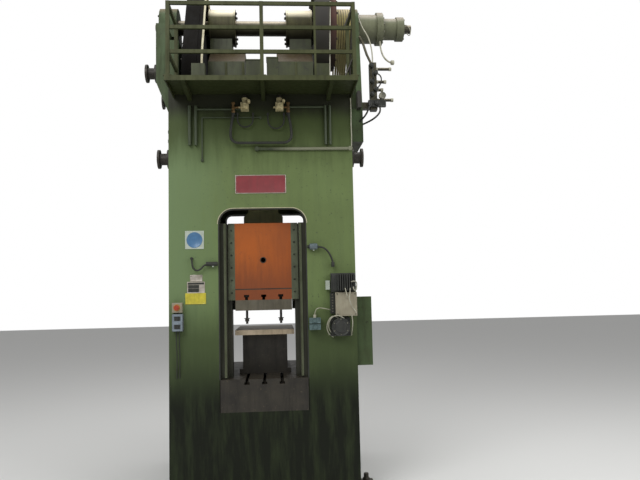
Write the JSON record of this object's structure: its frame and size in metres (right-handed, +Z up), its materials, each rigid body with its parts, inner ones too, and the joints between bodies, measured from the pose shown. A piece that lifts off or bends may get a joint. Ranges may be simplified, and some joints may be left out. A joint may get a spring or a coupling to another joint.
{
  "type": "mechanical stamping press",
  "caption": "Straight-sided crank press with a guided slide, top drive with flywheel and geared crankshaft, and a railed platform.",
  "frame": {"origin": "centre of the four anchor bolt holes, on the floor", "axes": "+X to the right seen from the front, +Y to the rear, +Z up"},
  "size_m": [2.416, 1.87, 4.537],
  "materials": {
    "green_paint": "worn satin enamel",
    "dark_steel": "oily dark steel",
    "bright_steel": "turned steel",
    "die_steel": "ground steel with tan varnish",
    "bronze": "turned bronze",
    "guard_paint": "dark satin paint",
    "olive_paint": "oily green paint",
    "orange_paint": "worn orange paint",
    "rust_red": "red oxide paint",
    "motor_blue": "grey-blue paint",
    "black_rubber": "matt rubber",
    "pipe_paint": "painted tube",
    "valve_body": "cast valve body",
    "beige_plastic": "beige moulded plastic",
    "grey_plastic": "grey moulded plastic",
    "red_plastic": "red moulded plastic",
    "black_plastic": "black moulded plastic"
  },
  "bodies": {
    "frame": {"front_plate": "green_paint", "rear_plate": "green_paint", "outer_plates": "green_paint", "inner_plates": "green_paint", "side_guard": "green_paint", "crown_plate": "green_paint", "anchor_feet": "dark_steel", "bed_box": "olive_paint", "bed_block": "dark_steel", "bolster": "dark_steel", "riser_block": "dark_steel", "die_plate": "die_steel", "guide_rails": "dark_steel", "lifting_spools": "dark_steel", "bearing_pedestals": "green_paint", "shaft_housings": "olive_paint", "bearing_bushes": "bronze", "gear_guard": "guard_paint", "left_outrigger": "green_paint", "brake_housing": "green_paint", "right_outrigger": "green_paint", "clutch_housing": "olive_paint", "air_union": "bright_steel", "motor_case": "motor_blue", "motor_base": "dark_steel", "v_belts": "black_rubber", "platform_deck": "green_paint", "platform_brackets": "green_paint", "railing": "green_paint", "air_valves": "valve_body", "front_pipes": "pipe_paint", "front_hoses": "black_rubber", "slide_hoses": "black_rubber", "stop_box": "beige_plastic", "button_box": "grey_plastic", "control_boxes": "beige_plastic", "crown_boxes": "olive_paint", "air_manifold": "bright_steel", "regulator_box": "grey_plastic"},
    "slide": {"slide_body": "orange_paint", "slide_plate": "orange_paint", "slide_neck": "olive_paint", "slide_flanges": "green_paint", "slide_liners": "bronze", "upper_die_plate": "dark_steel", "t_bolts": "dark_steel"},
    "connecting_rod": {"connecting_rod": "dark_steel", "wrist_pin": "bright_steel"},
    "crankshaft": {"crankshaft": "bright_steel", "bull_gear": "dark_steel"},
    "drive_shaft": {"drive_shaft": "bright_steel", "drive_pinion": "dark_steel", "clutch_plate": "rust_red"},
    "flywheel": {"flywheel": "dark_steel", "clutch_cover": "rust_red", "belt_sheave": "dark_steel"},
    "motor_rotor": {"motor_rotor": "dark_steel"},
    "stop_button": {"stop_button": "red_plastic"},
    "upper_button": {"upper_button": "black_plastic"},
    "lower_button": {"lower_button": "black_plastic"}
  },
  "joints": [
    {"name": "crankshaft_turn", "type": "hinge", "parent": "frame", "child": "crankshaft", "pos_m": [0, 0, 3.465], "axis": [1, 0, 0], "continuous": true},
    {"name": "connecting_rod_turn", "type": "hinge", "parent": "crankshaft", "child": "connecting_rod", "pos_m": [0, 0, 3.405], "axis": [1, 0, 0], "continuous": true},
    {"name": "drive_shaft_turn", "type": "hinge", "parent": "frame", "child": "drive_shaft", "pos_m": [0, 0, 4.107], "axis": [1, 0, 0], "continuous": true},
    {"name": "flywheel_turn", "type": "hinge", "parent": "frame", "child": "flywheel", "pos_m": [0, 0, 4.107], "axis": [1, 0, 0], "continuous": true},
    {"name": "motor_turn", "type": "hinge", "parent": "frame", "child": "motor_rotor", "pos_m": [0, 0.5, 3.55], "axis": [1, 0, 0], "continuous": true},
    {"name": "slide_stroke", "type": "slide", "parent": "frame", "child": "slide", "axis": [0, 0, 1], "range_m": [0, 0.12]},
    {"name": "stop_button_press", "type": "slide", "parent": "frame", "child": "stop_button", "axis": [0, 1, 0], "range_m": [0, 0.006], "stiffness_N_per_m": 400},
    {"name": "upper_button_press", "type": "slide", "parent": "frame", "child": "upper_button", "axis": [0, 1, 0], "range_m": [0, 0.006], "stiffness_N_per_m": 400},
    {"name": "lower_button_press", "type": "slide", "parent": "frame", "child": "lower_button", "axis": [0, 1, 0], "range_m": [0, 0.006], "stiffness_N_per_m": 400}
  ],
  "couplings": [
    {"joint": "connecting_rod_turn", "follows": "crankshaft_turn", "ratio": -1},
    {"joint": "drive_shaft_turn", "follows": "crankshaft_turn", "ratio": -4.6316},
    {"joint": "motor_turn", "follows": "flywheel_turn", "ratio": 2.069}
  ]
}
